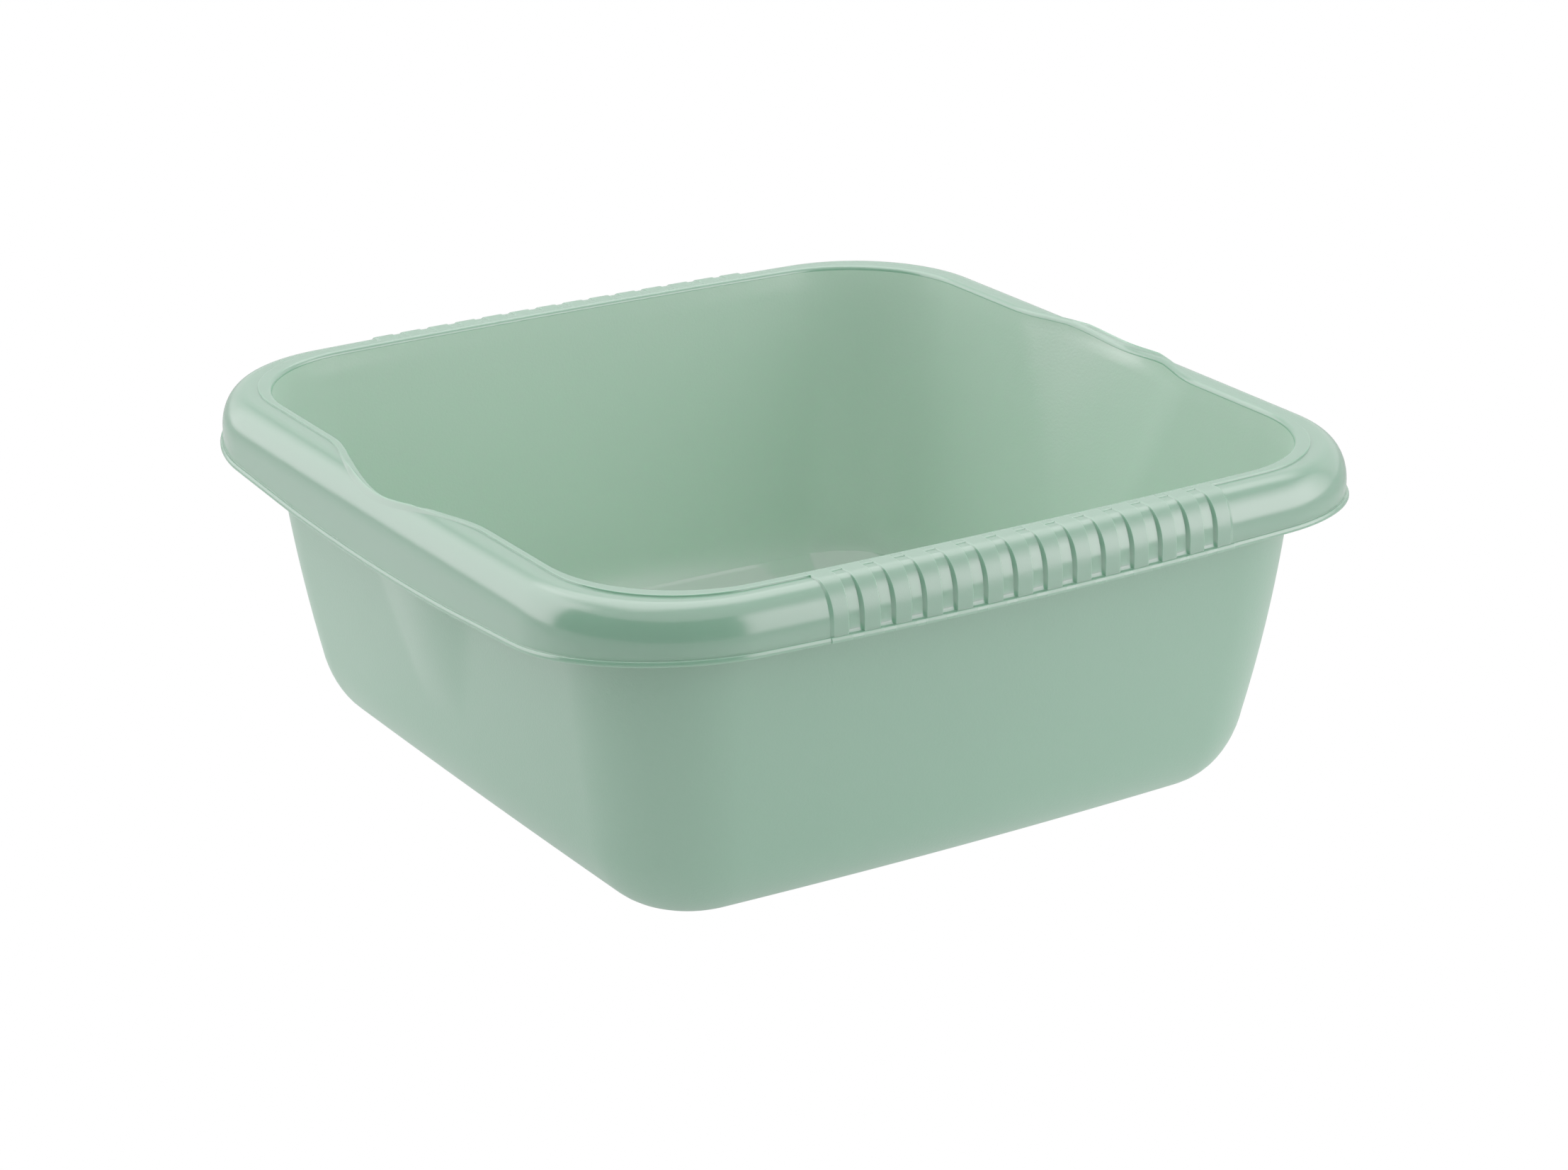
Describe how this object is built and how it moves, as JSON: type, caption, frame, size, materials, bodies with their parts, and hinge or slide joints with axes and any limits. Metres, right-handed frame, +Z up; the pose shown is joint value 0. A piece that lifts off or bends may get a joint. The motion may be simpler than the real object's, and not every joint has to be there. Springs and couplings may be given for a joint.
{
  "type": "square basin",
  "caption": "Square open basin with rounded corners, a rolled rim, two opposite pouring spouts and two opposite ribbed grips.",
  "frame": {"origin": "under the middle of the base, on the surface that the basin stands on", "axes": "+Z up out of the opening, X runs from spout to spout, Y runs from grip to grip"},
  "size_m": [0.38, 0.382, 0.1482],
  "materials": {
    "basin": "sage green polypropylene, satin walls, glossy rim"
  },
  "bodies": {
    "root": {"basin": "basin"}
  },
  "joints": []
}
